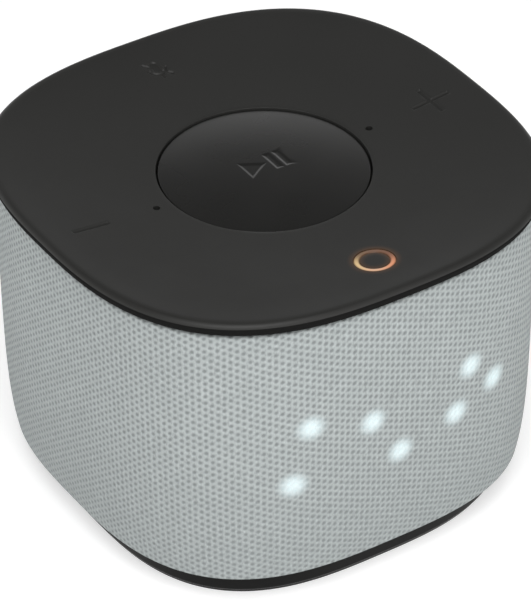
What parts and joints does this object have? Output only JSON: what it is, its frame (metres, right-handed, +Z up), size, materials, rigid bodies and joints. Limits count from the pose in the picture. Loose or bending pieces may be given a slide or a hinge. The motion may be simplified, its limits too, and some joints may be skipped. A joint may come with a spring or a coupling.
{
  "type": "smart speaker",
  "caption": "Rounded-square tabletop smart speaker: fabric-wrapped body, dished black cover with a round press button, touch icons, lit action ring and lamp display.",
  "frame": {"origin": "on the floor, under the middle of the foot ring", "axes": "+Z up; -Y is the front, with the lamp display and the action ring; +X is the side of the plus mark, to the right when the front is faced from -Y"},
  "size_m": [0.11, 0.11, 0.078],
  "materials": {
    "soft_touch": "soft-touch matt black",
    "satin_button": "satin black",
    "knit_fabric": "light grey knitted mesh",
    "gloss_base": "gloss black",
    "foot_rubber": "matt black rubber",
    "black_plastic": "moulded black",
    "grey_plastic": "moulded light grey",
    "plated_steel": "zinc plated",
    "ferrite": "sintered dark grey",
    "copper_wire": "enamelled copper winding",
    "paper_cone": "pressed paper pulp",
    "suspension_rubber": "butyl rubber",
    "spider_cloth": "resin-dipped cloth",
    "circuit_board": "green solder mask",
    "black_board": "black solder mask",
    "ribbon_film": "cream ribbon film",
    "silicone": "translucent silicone",
    "cool_lamp": "lit cool white",
    "amber_light": "lit amber"
  },
  "bodies": {
    "chassis": {"top_cover": "soft_touch", "action_pad": "soft_touch", "fabric_sleeve": "knit_fabric", "base_plate": "gloss_base", "foot_ring": "foot_rubber", "acoustic_chamber": "black_plastic", "chamber_lid": "black_plastic", "sound_deflector": "black_plastic", "top_frame": "black_plastic", "button_switch": "black_plastic", "grille_shell": "grey_plastic", "led_baffle": "grey_plastic", "driver_frame": "plated_steel", "driver_top_plate": "plated_steel", "driver_yoke": "plated_steel", "power_inlet": "plated_steel", "processor_shield": "plated_steel", "base_screw_1": "plated_steel", "base_screw_2": "plated_steel", "base_screw_3": "plated_steel", "base_screw_4": "plated_steel", "driver_screw_1": "plated_steel", "driver_screw_2": "plated_steel", "driver_screw_3": "plated_steel", "driver_screw_4": "plated_steel", "frame_screw_1": "plated_steel", "frame_screw_2": "plated_steel", "frame_screw_3": "plated_steel", "frame_screw_4": "plated_steel", "driver_magnet": "ferrite", "driver_surround": "suspension_rubber", "radiator_surround": "suspension_rubber", "driver_gasket": "suspension_rubber", "driver_spider": "spider_cloth", "main_board": "circuit_board", "power_board": "circuit_board", "touch_board": "black_board", "led_board": "black_board", "wifi_antenna": "black_board", "speaker_cable": "ribbon_film", "power_cable": "ribbon_film", "led_cable": "ribbon_film", "mic_gasket_left": "silicone", "mic_gasket_right": "silicone", "button_return_pad": "silicone", "led_lamp_1": "cool_lamp", "led_lamp_2": "cool_lamp", "led_lamp_3": "cool_lamp", "led_lamp_4": "cool_lamp", "led_lamp_5": "cool_lamp", "led_lamp_6": "cool_lamp", "led_lamp_7": "cool_lamp", "action_lamp": "amber_light", "action_light_guide": "amber_light"},
    "button": {"centre_button": "satin_button"},
    "diaphragm": {"driver_cone": "paper_cone", "driver_dust_cap": "paper_cone", "voice_coil": "copper_wire"},
    "radiator": {"radiator_plate": "plated_steel"}
  },
  "joints": [
    {"name": "centre_button_press", "type": "slide", "parent": "chassis", "child": "button", "axis": [0, 0, 1], "range_m": [-0.0008, 0], "stiffness_N_per_m": 2200, "springref_m": 0.0003, "deforming": ["button_return_pad"]},
    {"name": "driver_excursion", "type": "slide", "parent": "chassis", "child": "diaphragm", "axis": [0, 0, 1], "range_m": [-0.0025, 0.0025], "stiffness_N_per_m": 1200, "deforming": ["driver_surround", "driver_spider"]},
    {"name": "radiator_excursion", "type": "slide", "parent": "chassis", "child": "radiator", "axis": [0, 0, 1], "range_m": [-0.0025, 0.0025], "stiffness_N_per_m": 600, "deforming": ["radiator_surround"]}
  ]
}
